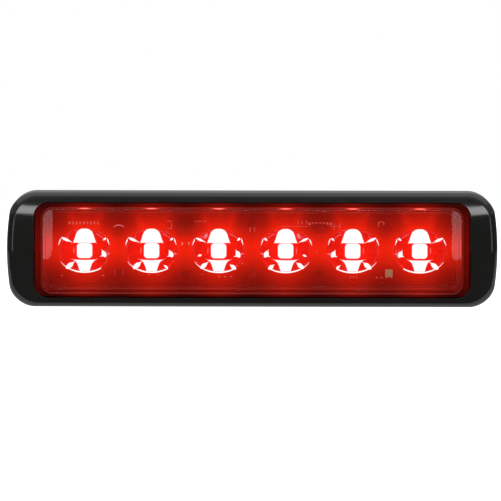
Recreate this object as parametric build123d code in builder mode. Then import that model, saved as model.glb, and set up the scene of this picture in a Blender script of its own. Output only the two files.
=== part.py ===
# Six-LED third brake light: a surface-mounted lamp with a clear cover and a press-on bezel.
# X runs along the lamp, +Z is up and the lamp shines towards -Y. Y = 0 is the plane of the car's
# body panel, against which the foam gasket lies. "Forward" distances are measured from that plane.
import os

from build123d import *

# Overall size
overall_length = 130.0
overall_height = 30.4
corner_radius = 6.2
end_bow = 1.3  # how far the middle of each end stands out beyond its corners

# Bezel
bezel_rear = 0.6
bezel_front = 14.5
bezel_wall = 1.3
bezel_face = 2.2
bezel_edge_radius = 1.8
bezel_end_band = 7.05
bezel_side_band = 2.45
bezel_crown_radius = 95.0  # the face is slightly arched from top to bottom
opening_radius = 3.9
opening_edge_radius = 0.4
bezel_pin_radius = 0.8
bezel_pin_length = 4.0
pry_notch_length = 9.0
pry_notch_height = 1.4

# Clear cover and its seal
lens_front = 17.0
lens_face = 2.0
lens_end_wall = 1.7
lens_side_wall = 1.2
lens_edge_radius = 0.6
shoulder_front = 12.2  # step in the cover's side, just inside the bezel
shoulder_thickness = 1.5
window_end_inset = 1.7  # the raised front window stands in from the cover's wall
window_side_inset = 1.0
window_radius = 3.0
window_wall = 1.3
seal_thickness = 0.6

# Gasket and base
gasket_thickness = 1.2
base_floor = 2.2
floor_chamfer = 0.3
rail_height = 2.6
rail_thickness = 0.8
tray_end_wall = 2.15
tray_side_wall = 1.2
tray_height = 3.0
tray_radius = 1.2
post_radius = 1.7
post_inset = 0.4  # posts stand this much nearer the middle than the mounting screws
post_from_side = 5.9

# Board stack
spreader_thickness = 1.5
pad_thickness = 0.3
board_thickness = 1.6

# LEDs and their optics
led_count = 6
led_size = 3.45
led_corner_radius = 0.25
led_thickness = 0.7
led_dome_radius = 1.3
optic_length = 13.8
optic_height = 11.5
optic_rim = 0.8
optic_front = 14.4
optic_foot_length = 6.4
optic_foot_height = 5.6
optic_foot_lift = 1.0
optic_leg_radius = 0.8
optic_leg_inset = 1.7
optic_leg_drop = 0.7
dome_room = 0.9  # air round and in front of each LED's dome

# Mounting screws and washers
screw_neck_radius = 1.25
screw_thread_radius = 1.45
screw_head_radius = 2.7
screw_head_height = 2.0
screw_head_round = 0.8
screw_reach = 12.0  # how far the screws stick out behind the gasket
screw_tip_length = 2.2
screw_tip_radius = 0.3
recess_length = 3.0
recess_width = 0.75
recess_depth = 1.2
washer_radius = 2.75
washer_thickness = 0.5

# Board screws
board_screw_radius = 1.0
board_screw_length = 4.8
board_screw_head_radius = 1.9
board_screw_head_height = 1.3
board_screw_head_round = 0.5
board_screw_recess_length = 2.1
board_screw_recess_width = 0.5
board_screw_recess_depth = 0.7
board_screw_from_edge = 4.8

# Cable gland and the eyelets that the wires are soldered into
gland_bore_radius = 1.8
gland_body_radius = 3.6
gland_flange_radius = 4.8
gland_flange_thickness = 0.9
gland_nose_length = 4.5
gland_nose_radius = 2.9
eyelet_spacing = 3.0
eyelet_bore_radius = 0.45
eyelet_wall = 0.3
eyelet_flange_radius = 1.05
eyelet_flange_thickness = 0.3

# Components on the board
chip_length = 4.9
chip_height = 3.9
chip_thickness = 1.45
chip_from_edge = 3.9
chip_lift = 0.15
chip_leg_count = 4
chip_leg_pitch = 1.27
chip_leg_width = 0.42
chip_leg_length = 0.8
chip_leg_thickness = 0.35
diode_length = 4.3
diode_height = 2.6
diode_thickness = 2.1
diode_tab_length = 0.7
diode_tab_width = 1.4
diode_tab_thickness = 0.4
capacitor_size = 1.9
capacitor_thickness = 1.2
resistor_length = 2.0
resistor_height = 1.25
resistor_thickness = 0.55
part_row_from_edge = 3.0

# Clearances
bezel_gap = 0.3  # bezel skirt round the base
gasket_inset = 0.4  # gasket edge inside the base's edge
lens_gap = 0.35  # cover inside the bezel's opening
seat_gap = 0.2  # cover between the tray wall and the rails
pin_gap = 0.05  # bezel pins in the posts, and the bezel on the posts
board_gap = 0.4  # board inside the tray
screw_gap = 0.2  # screws in their clearance holes
thread_gap = 0.05  # board screws in the base
eyelet_gap = 0.3  # eyelets below the driver chip's legs
least_flat = 0.15  # flat left between two rounded edges

# Levels, forward of the body panel
floor_rear = gasket_thickness
floor_front = floor_rear + base_floor
pad_rear = floor_front + spreader_thickness
board_rear = pad_rear + pad_thickness
board_front = board_rear + board_thickness
led_front = board_front + led_thickness
bezel_under = bezel_front - bezel_face
lens_under = lens_front - lens_face
lens_rear = floor_front + seal_thickness
post_front = bezel_under - pin_gap

# Outlines, each as length, height and corner radius
opening_length = overall_length - 2 * bezel_end_band
opening_height = overall_height - 2 * bezel_side_band
opening = (opening_length, opening_height, opening_radius)
lens_length = opening_length - 2 * lens_gap
lens_height = opening_height - 2 * lens_gap
lens_radius = opening_radius - lens_gap
lens_outer = (lens_length, lens_height, lens_radius)
lens_inner_length = lens_length - 2 * lens_end_wall
lens_inner_height = lens_height - 2 * lens_side_wall
lens_inner_radius = lens_radius - lens_side_wall
lens_inner = (lens_inner_length, lens_inner_height, lens_inner_radius)
window_length = lens_length - 2 * window_end_inset
window_height = lens_height - 2 * window_side_inset
window_outer = (window_length, window_height, window_radius)
window_inner = (
    window_length - 2 * window_wall,
    window_height - 2 * window_wall,
    window_radius - window_wall,
)
tray_length = lens_inner_length - 2 * seat_gap
tray_height_outside = lens_inner_height - 2 * seat_gap
tray_outer = (tray_length, tray_height_outside, lens_inner_radius - seat_gap)
tray_inner_length = tray_length - 2 * tray_end_wall
tray_inner_height = tray_height_outside - 2 * tray_side_wall
tray_inner = (tray_inner_length, tray_inner_height, tray_radius)
board_length = tray_inner_length - 2 * board_gap
board_height = tray_inner_height - 2 * board_gap
board = (board_length, board_height, tray_radius - board_gap)

# Places, as x, z
led_pitch = board_length / led_count
led_x = [(index - (led_count - 1) / 2) * led_pitch for index in range(led_count)]
gap_x = [x + led_pitch / 2 for x in led_x[:-1]]
screw_x = (lens_length / 2 + overall_length / 2 - bezel_wall) / 2
screw_points = [(-screw_x, 0), (screw_x, 0)]
post_x = screw_x - post_inset
post_z = overall_height / 2 - post_from_side
post_points = [(-post_x, -post_z), (-post_x, post_z), (post_x, -post_z), (post_x, post_z)]
board_screw_z = board_height / 2 - board_screw_from_edge
board_screw_points = [(gap_x[0], board_screw_z), (gap_x[-1], board_screw_z)]
gland_x = gap_x[1]
chip_z = board_height / 2 - chip_from_edge
part_row_z = board_height / 2 - part_row_from_edge
eyelet_z = chip_z - chip_height / 2 - chip_leg_length - eyelet_gap - eyelet_flange_radius
eyelet_points = [(gland_x - eyelet_spacing / 2, eyelet_z), (gland_x + eyelet_spacing / 2, eyelet_z)]


def level(forward):
    """The drawing plane at a forward distance, facing the way the lamp shines."""
    return Plane.XZ.offset(forward)


def bowed_profile(forward, inset):
    """The lamp's outline with its bowed ends, drawn in by inset all round."""
    half_length = overall_length / 2
    half_height = overall_height / 2
    corner_x = half_length - end_bow
    with BuildSketch(level(forward)) as profile:
        with BuildLine():
            Line((-corner_x, half_height), (corner_x, half_height))
            ThreePointArc((corner_x, half_height), (half_length, 0), (corner_x, -half_height))
            Line((corner_x, -half_height), (-corner_x, -half_height))
            ThreePointArc((-corner_x, -half_height), (-half_length, 0), (-corner_x, half_height))
        make_face()
        fillet(profile.vertices(), corner_radius)
        if inset > 0:
            offset(amount=-inset, mode=Mode.REPLACE)
    return profile.sketch


def rounded_profile(forward, outline):
    """A rectangle with round corners, centred on the lamp."""
    with BuildSketch(level(forward)) as profile:
        RectangleRounded(*outline)
    return profile.sketch


def ring_profile(forward, outer, inner):
    """The band between two rounded rectangles."""
    with BuildSketch(level(forward)) as profile:
        RectangleRounded(*outer)
        RectangleRounded(*inner, mode=Mode.SUBTRACT)
    return profile.sketch


def circles_profile(forward, points, radius):
    """Equal circles at the given points."""
    with BuildSketch(level(forward)) as profile:
        with Locations(*points):
            Circle(radius)
    return profile.sketch


def boxes_profile(forward, points, length, height):
    """Equal rectangles at the given points."""
    with BuildSketch(level(forward)) as profile:
        with Locations(*points):
            Rectangle(length, height)
    return profile.sketch


def crosses_profile(forward, points, length, width):
    """The cross-shaped mouths of screw recesses at the given points."""
    with BuildSketch(level(forward)) as profile:
        with Locations(*points):
            Rectangle(length, width)
            Rectangle(width, length)
    return profile.sketch


def half_profile(x, z, outline):
    """Half of a turned piece's section, from points given as radius and forward distance."""
    with BuildSketch(Plane(origin=(x, 0, z))) as profile:
        with BuildLine():
            Polyline(*[(radius, -forward) for radius, forward in outline], close=True)
        make_face()
    return profile.sketch


def forward_axis(x, z):
    """The axis through a point, along the way the lamp shines."""
    return Axis((x, 0, z), (0, -1, 0))


def front_edges(builder):
    """The outer edges of a sub-part's front face."""
    return builder.faces().sort_by(Axis.Y)[0].outer_wire().edges()


def save(builder, name):
    """Label a finished sub-part and write it as its own STEP file."""
    builder.part.label = name
    export_step(builder.part, f"parts/{name}.step")


os.makedirs("parts", exist_ok=True)


# Foam gasket between the base and the car's body panel
with BuildPart() as mounting_gasket:
    extrude(bowed_profile(0, bezel_wall + bezel_gap + gasket_inset), amount=gasket_thickness)
    extrude(
        circles_profile(0, screw_points, screw_thread_radius + screw_gap),
        amount=gasket_thickness,
        mode=Mode.SUBTRACT,
    )
    extrude(
        circles_profile(0, [(gland_x, 0)], gland_flange_radius + screw_gap),
        amount=gasket_thickness,
        mode=Mode.SUBTRACT,
    )
save(mounting_gasket, "mounting_gasket")


# Base: the floor, a tray wall round the board, rails along the cover's long sides, and four posts
# for the bezel's pins
with BuildPart() as base_housing:
    extrude(bowed_profile(floor_rear, bezel_wall + bezel_gap), amount=base_floor)
    chamfer(front_edges(base_housing), floor_chamfer)
    extrude(ring_profile(floor_front, tray_outer, tray_inner), amount=tray_height)
    rail_z = lens_height / 2 + seat_gap + rail_thickness / 2
    rail_length = lens_length - 2 * lens_radius
    extrude(
        boxes_profile(floor_front, [(0, rail_z), (0, -rail_z)], rail_length, rail_thickness),
        amount=rail_height,
    )
    extrude(circles_profile(floor_front, post_points, post_radius), amount=post_front - floor_front)
    extrude(
        circles_profile(post_front, post_points, bezel_pin_radius + pin_gap),
        amount=-bezel_pin_length,
        mode=Mode.SUBTRACT,
    )
    extrude(
        circles_profile(floor_rear, screw_points, screw_neck_radius + screw_gap),
        amount=base_floor,
        mode=Mode.SUBTRACT,
    )
    extrude(
        circles_profile(floor_rear, [(gland_x, 0)], gland_body_radius),
        amount=base_floor,
        mode=Mode.SUBTRACT,
    )
    extrude(
        circles_profile(board_front, board_screw_points, board_screw_radius + thread_gap),
        amount=-(board_screw_length + thread_gap),
        mode=Mode.SUBTRACT,
    )
save(base_housing, "base_housing")


# Rubber seal under the cover's edge
with BuildPart() as lens_seal:
    extrude(ring_profile(floor_front, lens_outer, lens_inner), amount=seal_thickness)
save(lens_seal, "lens_seal")


# Clear cover: a shallow box open at the back, with a shoulder from which the front window rises
with BuildPart() as lens_cover:
    shoulder_rear = shoulder_front - shoulder_thickness
    extrude(rounded_profile(lens_rear, lens_outer), amount=shoulder_front - lens_rear)
    extrude(rounded_profile(shoulder_front, window_outer), amount=lens_front - shoulder_front)
    fillet(front_edges(lens_cover), lens_edge_radius)
    extrude(
        rounded_profile(lens_rear, lens_inner), amount=shoulder_rear - lens_rear, mode=Mode.SUBTRACT
    )
    extrude(
        rounded_profile(shoulder_rear, window_inner),
        amount=lens_under - shoulder_rear,
        mode=Mode.SUBTRACT,
    )
save(lens_cover, "lens_cover")


# Bezel: a skirt and a front flange, with four pins behind the flange and a notch for prying it off
with BuildPart() as bezel:
    edge_radius = min(bezel_edge_radius, bezel_side_band - opening_edge_radius - least_flat)
    extrude(bowed_profile(bezel_rear, 0), amount=bezel_front - bezel_rear)
    with Locations((0, bezel_crown_radius - bezel_front, 0)):
        Cylinder(
            bezel_crown_radius, overall_length + 2, rotation=(0, 90, 0), mode=Mode.INTERSECT
        )
    fillet(front_edges(bezel), edge_radius)
    extrude(
        bowed_profile(bezel_rear, bezel_wall),
        amount=bezel_under - bezel_rear,
        mode=Mode.SUBTRACT,
    )
    extrude(rounded_profile(bezel_under, opening), amount=bezel_face, mode=Mode.SUBTRACT)
    front_face = bezel.faces().sort_by(Axis.Y)[0]
    fillet(front_face.inner_wires().edges(), opening_edge_radius)
    extrude(
        circles_profile(bezel_under, post_points, bezel_pin_radius),
        amount=-(bezel_pin_length - pin_gap),
    )
    extrude(
        boxes_profile(bezel_rear, [(0, -overall_height / 2)], pry_notch_length, 3 * bezel_wall),
        amount=pry_notch_height,
        mode=Mode.SUBTRACT,
    )
save(bezel, "bezel")


# Aluminium heat spreader, thermal pad and circuit board, one behind the other
def board_plate(rear, thickness):
    """A plate with the board's outline and clearance holes for the board screws."""
    extrude(rounded_profile(rear, board), amount=thickness)
    extrude(
        circles_profile(rear, board_screw_points, board_screw_radius + screw_gap),
        amount=thickness,
        mode=Mode.SUBTRACT,
    )


def gland_window(rear, thickness):
    """The hole that leaves room for the gland and the wires in front of it."""
    extrude(
        circles_profile(rear, [(gland_x, 0)], gland_flange_radius + screw_gap),
        amount=thickness,
        mode=Mode.SUBTRACT,
    )


with BuildPart() as heat_spreader:
    board_plate(floor_front, spreader_thickness)
    gland_window(floor_front, spreader_thickness)
save(heat_spreader, "heat_spreader")

with BuildPart() as thermal_pad:
    board_plate(pad_rear, pad_thickness)
    gland_window(pad_rear, pad_thickness)
save(thermal_pad, "thermal_pad")

with BuildPart() as circuit_board:
    board_plate(board_rear, board_thickness)
    extrude(
        circles_profile(board_rear, eyelet_points, eyelet_bore_radius + eyelet_wall),
        amount=board_thickness,
        mode=Mode.SUBTRACT,
    )
save(circuit_board, "circuit_board")


# LED packages, their silicone domes and the oval optics over them
for number, x in enumerate(led_x, start=1):
    with BuildPart() as led_package:
        with BuildSketch(level(board_front)):
            with Locations((x, 0)):
                RectangleRounded(led_size, led_size, led_corner_radius)
        extrude(amount=led_thickness)
    save(led_package, f"led_package_{number}")

    with BuildPart() as led_dome:
        with Locations((x, -led_front, 0)):
            Sphere(led_dome_radius)
        split(bisect_by=level(led_front), keep=Keep.TOP)
    save(led_dome, f"led_dome_{number}")

    with BuildPart() as optic:
        foot = board_front + optic_foot_lift
        rim = optic_front - optic_rim
        with BuildSketch(level(foot)):
            with Locations((x, 0)):
                Ellipse(optic_foot_length / 2, optic_foot_height / 2)
        with BuildSketch(level(rim)) as rim_profile:
            with Locations((x, 0)):
                Ellipse(optic_length / 2, optic_height / 2)
        loft()
        extrude(rim_profile.sketch, amount=optic_rim)
        leg_x = optic_length / 2 - optic_leg_inset
        leg_points = [(x - leg_x, -optic_leg_drop), (x + leg_x, -optic_leg_drop)]
        extrude(
            circles_profile(board_front, leg_points, optic_leg_radius),
            amount=rim - board_front,
        )
        extrude(
            circles_profile(foot, [(x, 0)], led_dome_radius + dome_room),
            amount=led_front + led_dome_radius + dome_room - foot,
            mode=Mode.SUBTRACT,
        )
    save(optic, f"optic_{number}")


# Mounting screws with pan heads, and the washers under them
with BuildPart() as mounting_screws:
    head_rear = floor_front + washer_thickness
    head_front = head_rear + screw_head_height
    for x, z in screw_points:
        section = [
            (0, head_front),
            (screw_head_radius - screw_head_round, head_front),
            (screw_head_radius, head_front - screw_head_round),
            (screw_head_radius, head_rear),
            (screw_neck_radius, head_rear),
            (screw_neck_radius, 0),
            (screw_thread_radius, 0),
            (screw_thread_radius, screw_tip_length - screw_reach),
            (screw_tip_radius, -screw_reach),
            (0, -screw_reach),
        ]
        revolve(half_profile(x, z, section), axis=forward_axis(x, z))
    extrude(
        crosses_profile(head_front, screw_points, recess_length, recess_width),
        amount=-recess_depth,
        mode=Mode.SUBTRACT,
    )
save(mounting_screws, "mounting_screws")

with BuildPart() as screw_washers:
    extrude(circles_profile(floor_front, screw_points, washer_radius), amount=washer_thickness)
    extrude(
        circles_profile(floor_front, screw_points, screw_neck_radius + screw_gap),
        amount=washer_thickness,
        mode=Mode.SUBTRACT,
    )
save(screw_washers, "screw_washers")


# Screws that clamp the board stack to the base
with BuildPart() as board_screws:
    head_front = board_front + board_screw_head_height
    for x, z in board_screw_points:
        section = [
            (0, head_front),
            (board_screw_head_radius - board_screw_head_round, head_front),
            (board_screw_head_radius, head_front - board_screw_head_round),
            (board_screw_head_radius, board_front),
            (board_screw_radius, board_front),
            (board_screw_radius, board_front - board_screw_length),
            (0, board_front - board_screw_length),
        ]
        revolve(half_profile(x, z, section), axis=forward_axis(x, z))
    extrude(
        crosses_profile(
            head_front, board_screw_points, board_screw_recess_length, board_screw_recess_width
        ),
        amount=-board_screw_recess_depth,
        mode=Mode.SUBTRACT,
    )
save(board_screws, "board_screws")


# Rubber gland, gripping the base's floor between two flanges, with its nose behind the panel
with BuildPart() as cable_gland:
    flange_rear = floor_rear - gland_flange_thickness
    flange_front = floor_front + gland_flange_thickness
    section = [
        (gland_bore_radius, flange_front),
        (gland_flange_radius, flange_front),
        (gland_flange_radius, floor_front),
        (gland_body_radius, floor_front),
        (gland_body_radius, floor_rear),
        (gland_flange_radius, floor_rear),
        (gland_flange_radius, flange_rear),
        (gland_body_radius, flange_rear),
        (gland_nose_radius, -gland_nose_length),
        (gland_bore_radius, -gland_nose_length),
    ]
    revolve(half_profile(gland_x, 0, section), axis=forward_axis(gland_x, 0))
save(cable_gland, "cable_gland")


# Brass eyelets riveted through the board
with BuildPart() as wire_eyelets:
    barrel_radius = eyelet_bore_radius + eyelet_wall
    for x, z in eyelet_points:
        section = [
            (eyelet_bore_radius, board_front + eyelet_flange_thickness),
            (eyelet_flange_radius, board_front + eyelet_flange_thickness),
            (eyelet_flange_radius, board_front),
            (barrel_radius, board_front),
            (barrel_radius, board_rear),
            (eyelet_flange_radius, board_rear),
            (eyelet_flange_radius, board_rear - eyelet_flange_thickness),
            (eyelet_bore_radius, board_rear - eyelet_flange_thickness),
        ]
        revolve(half_profile(x, z, section), axis=forward_axis(x, z))
save(wire_eyelets, "wire_eyelets")


# Driver chip with a row of legs on each long side
with BuildPart() as driver_chip:
    chip_x = gap_x[1]
    extrude(
        boxes_profile(board_front + chip_lift, [(chip_x, chip_z)], chip_length, chip_height),
        amount=chip_thickness - chip_lift,
    )
    first_leg = chip_x - (chip_leg_count - 1) * chip_leg_pitch / 2
    chip_legs = [(first_leg + index * chip_leg_pitch, chip_z) for index in range(chip_leg_count)]
    extrude(
        boxes_profile(board_front, chip_legs, chip_leg_width, chip_height + 2 * chip_leg_length),
        amount=chip_leg_thickness,
    )
save(driver_chip, "driver_chip")


# Input diode with a solder tab at each end
with BuildPart() as input_diode:
    diode_points = [(gap_x[3], chip_z)]
    extrude(boxes_profile(board_front, diode_points, diode_length, diode_height), amount=diode_thickness)
    extrude(
        boxes_profile(
            board_front, diode_points, diode_length + 2 * diode_tab_length, diode_tab_width
        ),
        amount=diode_tab_thickness,
    )
save(input_diode, "input_diode")


# Ceramic capacitors and chip resistors along the board's edges
with BuildPart() as capacitors:
    capacitor_points = [(gap_x[4] + capacitor_size / 2, -part_row_z), (gap_x[2], -part_row_z)]
    extrude(
        boxes_profile(board_front, capacitor_points, capacitor_size, capacitor_size),
        amount=capacitor_thickness,
    )
save(capacitors, "capacitors")

with BuildPart() as resistors:
    resistor_points = [
        (gap_x[0], -part_row_z),
        (gap_x[1], -part_row_z),
        (gap_x[2], part_row_z),
        (gap_x[3], -part_row_z),
    ]
    extrude(
        boxes_profile(board_front, resistor_points, resistor_length, resistor_height),
        amount=resistor_thickness,
    )
save(resistors, "resistors")
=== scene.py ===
import math

import bmesh
import bpy
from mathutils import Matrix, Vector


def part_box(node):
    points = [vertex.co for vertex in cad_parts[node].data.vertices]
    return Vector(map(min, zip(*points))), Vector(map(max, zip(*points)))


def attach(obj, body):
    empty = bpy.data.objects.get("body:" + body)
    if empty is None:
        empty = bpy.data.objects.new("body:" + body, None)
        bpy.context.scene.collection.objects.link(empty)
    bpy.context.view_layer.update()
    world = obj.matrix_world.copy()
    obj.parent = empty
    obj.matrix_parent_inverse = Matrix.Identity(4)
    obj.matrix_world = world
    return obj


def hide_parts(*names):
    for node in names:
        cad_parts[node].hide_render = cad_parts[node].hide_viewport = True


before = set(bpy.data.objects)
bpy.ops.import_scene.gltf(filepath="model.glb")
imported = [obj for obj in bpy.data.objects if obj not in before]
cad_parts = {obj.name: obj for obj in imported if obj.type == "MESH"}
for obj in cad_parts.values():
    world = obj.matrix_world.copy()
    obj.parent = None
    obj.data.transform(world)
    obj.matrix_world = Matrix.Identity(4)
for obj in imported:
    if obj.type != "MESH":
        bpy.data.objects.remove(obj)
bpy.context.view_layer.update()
mm = 0.001
print("frame loaded:", len(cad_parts), "nodes")


# Places are given as x, forward, z in millimetres. Forward is the way the lamp shines.
facing = (math.pi / 2, 0, 0)  # turns a new flat primitive to face forward


# a node's place, as centre x and z, size, and rear and front level
def room(node):
    low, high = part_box(node)
    return {
        "x": (low.x + high.x) / 2 / mm,
        "z": (low.z + high.z) / 2 / mm,
        "length": (high.x - low.x) / mm,
        "height": (high.z - low.z) / mm,
        "rear": -high.y / mm,
        "front": -low.y / mm,
    }


def spot(x, forward, z):
    return (x * mm, -forward * mm, z * mm)


def deselectAll():
    if bpy.context.mode != "OBJECT":
        bpy.ops.object.mode_set(mode="OBJECT")
    bpy.ops.object.select_all(action="DESELECT")


# opens a new primitive for editing, with its place in its mesh
def openNew(name):
    part = bpy.context.object
    part.name = part.data.name = name
    bpy.ops.object.transform_apply(location=True, rotation=True, scale=True)
    bpy.ops.object.mode_set(mode="EDIT")
    bpy.ops.mesh.select_all(action="SELECT")
    return part


def resize(sx, sf, sz, x=0, forward=0, z=0):
    bpy.ops.transform.resize(value=(sx, sf, sz), center_override=spot(x, forward, z))


def move(x=0, forward=0, z=0):
    bpy.ops.transform.translate(value=spot(x, forward, z))


# an upright rectangle facing forward, left in edit mode and selected
def rectangle(name, x, forward, z, length, height):
    deselectAll()
    bpy.ops.mesh.primitive_plane_add(size=mm, location=spot(x, forward, z), rotation=facing)
    part = openNew(name)
    resize(length, 1, height, x, forward, z)
    return part


# the same, added to the mesh that is open
def moreRectangle(x, forward, z, length, height):
    bpy.ops.mesh.primitive_plane_add(size=mm, location=spot(x, forward, z), rotation=facing)
    resize(length, 1, height, x, forward, z)


# an upright disc facing forward, left in edit mode and selected
def disc(name, x, forward, z, length, height, sides):
    deselectAll()
    bpy.ops.mesh.primitive_circle_add(
        vertices=sides, radius=mm / 2, fill_type="NGON", location=spot(x, forward, z), rotation=facing
    )
    part = openNew(name)
    resize(length, 1, height, x, forward, z)
    return part


def openMesh():
    return bmesh.from_edit_mesh(bpy.context.object.data)


# selects what passes a test of place, and nothing else
def choose(kind, test, sharp=None, edgeOfSheet=False):
    bpy.ops.mesh.select_mode(type=kind)
    bpy.ops.mesh.select_all(action="DESELECT")
    mesh = openMesh()
    for item in {"VERT": mesh.verts, "EDGE": mesh.edges, "FACE": mesh.faces}[kind]:
        if kind == "FACE":
            c, n = item.calc_center_median(), item.normal
            good = test(c.x / mm, -c.y / mm, c.z / mm, (n.x, -n.y, n.z))
        else:
            points = [item.co] if kind == "VERT" else [v.co for v in item.verts]
            good = all(test(p.x / mm, -p.y / mm, p.z / mm) for p in points)
        if good and kind == "EDGE" and edgeOfSheet:
            good = item.is_boundary or not item.link_faces
        if good and kind == "EDGE" and sharp is not None:
            good = len(item.link_faces) == 2 and item.calc_face_angle(0) > math.radians(sharp)
        item.select_set(good)
    mesh.select_flush_mode()
    bmesh.update_edit_mesh(bpy.context.object.data)


def roundCorners(radius, segments):
    bpy.ops.mesh.bevel(offset=radius * mm, segments=segments, profile=0.5, affect="VERTICES")


def roundEdges(radius, segments):
    bpy.ops.mesh.bevel(offset=radius * mm, segments=segments, profile=0.5, affect="EDGES")


def extrudeFace(forward):
    bpy.ops.mesh.extrude_region_move(TRANSFORM_OT_translate={"value": spot(0, forward, 0)})


def extrudeLoop(forward=0):
    bpy.ops.mesh.extrude_edges_move(TRANSFORM_OT_translate={"value": spot(0, forward, 0)})


# turns the open mesh's faces outwards and shades it
def closeMesh(angle=32, weighted=False):
    part = bpy.context.object
    bpy.ops.mesh.select_all(action="SELECT")
    bpy.ops.mesh.remove_doubles(threshold=1e-7)
    bpy.ops.mesh.normals_make_consistent(inside=False)
    deselectAll()
    part.select_set(True)
    bpy.context.view_layer.objects.active = part
    bpy.ops.object.shade_smooth_by_angle(angle=math.radians(angle))
    if weighted:
        part.modifiers.new("evenNormals", "WEIGHTED_NORMAL").keep_sharp = True
        bpy.ops.object.modifier_apply(modifier="evenNormals")
    deselectAll()
    return part


def joinParts(parts, name):
    deselectAll()
    for part in parts:
        part.select_set(True)
    bpy.context.view_layer.objects.active = parts[0]
    bpy.ops.object.join()
    whole = parts[0]
    whole.name = whole.data.name = name
    bpy.ops.object.mode_set(mode="EDIT")
    bpy.ops.mesh.select_all(action="SELECT")
    bpy.ops.mesh.normals_make_consistent(inside=False)
    deselectAll()
    return whole


def cutAway(part, tool):
    deselectAll()
    part.select_set(True)
    bpy.context.view_layer.objects.active = part
    cut = part.modifiers.new("cut", "BOOLEAN")
    cut.operation, cut.object, cut.solver = "DIFFERENCE", tool, "EXACT"
    bpy.ops.object.modifier_apply(modifier="cut")
    bpy.data.objects.remove(tool)


def copyPart(part, name, x=0, mirrored=False):
    made = part.copy()
    made.data = part.data.copy()
    made.name = made.data.name = name
    bpy.context.scene.collection.objects.link(made)
    deselectAll()
    made.select_set(True)
    bpy.context.view_layer.objects.active = made
    bpy.ops.object.mode_set(mode="EDIT")
    bpy.ops.mesh.select_all(action="SELECT")
    if mirrored:
        resize(-1, 1, 1)
        bpy.ops.mesh.normals_make_consistent(inside=False)
    move(x)
    deselectAll()
    return made


def dress(part, material, body, nodes=()):
    if material is not None:
        part.data.materials.clear()
        part.data.materials.append(material)
    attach(part, body)
    if nodes:
        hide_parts(*nodes)
    return part


def addNode(tree, kind, inputs=None, **settings):
    made = tree.nodes.new(kind)
    for key, value in settings.items():
        setattr(made, key, value)
    for key, value in (inputs or {}).items():
        if isinstance(value, bpy.types.NodeSocket):
            tree.links.new(value, made.inputs[key])
        else:
            made.inputs[key].default_value = value
    return made


def sums(tree, operation, a, b=0.0, c=0.0):
    return addNode(tree, "ShaderNodeMath", {0: a, 1: b, 2: c}, operation=operation).outputs[0]


def product(tree, first, *others):
    for other in others:
        first = sums(tree, "MULTIPLY", first, other)
    return first


# moves a value from one range to another
def remap(tree, value, start, end, low, high):
    ranges = {"Value": value, "From Min": start, "From Max": end, "To Min": low, "To Max": high}
    return addNode(tree, "ShaderNodeMapRange", ranges).outputs["Result"]


def noise(tree, place, scale, detail, rough=0.5):
    inputs = {"Vector": place, "Scale": scale, "Detail": detail, "Roughness": rough}
    return addNode(tree, "ShaderNodeTexNoise", inputs).outputs["Fac"]


def addBump(tree, shader, strength, depth, height):
    bump = addNode(tree, "ShaderNodeBump", {"Strength": strength, "Distance": depth * mm, "Height": height})
    tree.links.new(bump.outputs["Normal"], shader.inputs["Normal"])


def startMaterial(name):
    material = bpy.data.materials.new(name)
    material.use_nodes = True
    tree = material.node_tree
    place = addNode(tree, "ShaderNodeTexCoord").outputs["Object"]
    return material, tree, tree.nodes["Principled BSDF"], place


# colour, roughness and bump from two sizes of noise; when asked, red LED light painted as emission, mottled
# by the same noise
def paint(name, paintedLight=None, like=None):
    material, tree, shader, place = startMaterial(name)
    look, broadShare = looks[like or name], 0.65
    broad = noise(tree, place, look["patch"], 3.0, 0.6)
    fine = noise(tree, place, look["grain"], 4.0, 0.65)
    blend = sums(tree, "MULTIPLY_ADD", broad, broadShare, product(tree, fine, 1 - broadShare))
    colour = addNode(tree, "ShaderNodeValToRGB", {"Fac": blend})
    darkEnd, lightEnd = colour.color_ramp.elements
    darkEnd.position, darkEnd.color = 0.36, (*look["dark"], 1)
    lightEnd.position, lightEnd.color = 0.64, (*look["light"], 1)
    tree.links.new(colour.outputs["Color"], shader.inputs["Base Color"])
    tree.links.new(remap(tree, blend, 0.3, 0.7, *look["rough"]), shader.inputs["Roughness"])
    addBump(tree, shader, look["bump"], look["depth"], fine)
    shader.inputs["Metallic"].default_value = look.get("metal", 0.0)
    shader.inputs["IOR"].default_value = look.get("ior", 1.5)
    if paintedLight:
        shader.inputs["Emission Color"].default_value = (*paintedLight["colour"], 1)
        if "rightColour" in paintedLight:  # another colour towards the right
            x = addNode(tree, "ShaderNodeSeparateXYZ", {"Vector": place}).outputs["X"]
            hue = addNode(tree, "ShaderNodeValToRGB", {"Fac": product(tree, x, 1 / paintedLight["rightOf"] / mm)})
            leftEnd, rightEnd = hue.color_ramp.elements
            leftEnd.color, rightEnd.color = (*paintedLight["colour"], 1), (*paintedLight["rightColour"], 1)
            tree.links.new(hue.outputs["Color"], shader.inputs["Emission Color"])
        # painted LED light: its strength is mottled by the noise and spread round the LEDs
        clouds = sums(tree, "MULTIPLY_ADD", blend, paintedLight["mottle"], 1 - paintedLight["mottle"] / 2)
        level = product(tree, paintedLedLight(tree, place, paintedLight), clouds)
        tree.links.new(level, shader.inputs["Emission Strength"])
    return material


pitch = room("led_package_2")["x"] - room("led_package_1")["x"]
# the spread of the painted LED light: its beams, and its fade towards the lamp's ends
ledSpread = {
    "beamStart": 1.2, "beamLean": 0.28, "beamWidth": 1.3, "beamZ": 7.5, "beamHeight": 3.6,
    "fadeFrom": 48.0, "fadeTo": 55.0,
}


# a place's x, forward and z in millimetres, and how far aside of the nearest LED it is
def placeByLed(tree, place):
    axes = addNode(tree, "ShaderNodeSeparateXYZ", {"Vector": place}).outputs
    x = product(tree, axes["X"], 1 / mm)
    aside = sums(tree, "SUBTRACT", pitch / 2, sums(tree, "PINGPONG", x, pitch / 2))
    return x, product(tree, axes["Y"], -1 / mm), product(tree, axes["Z"], 1 / mm), aside
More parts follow.
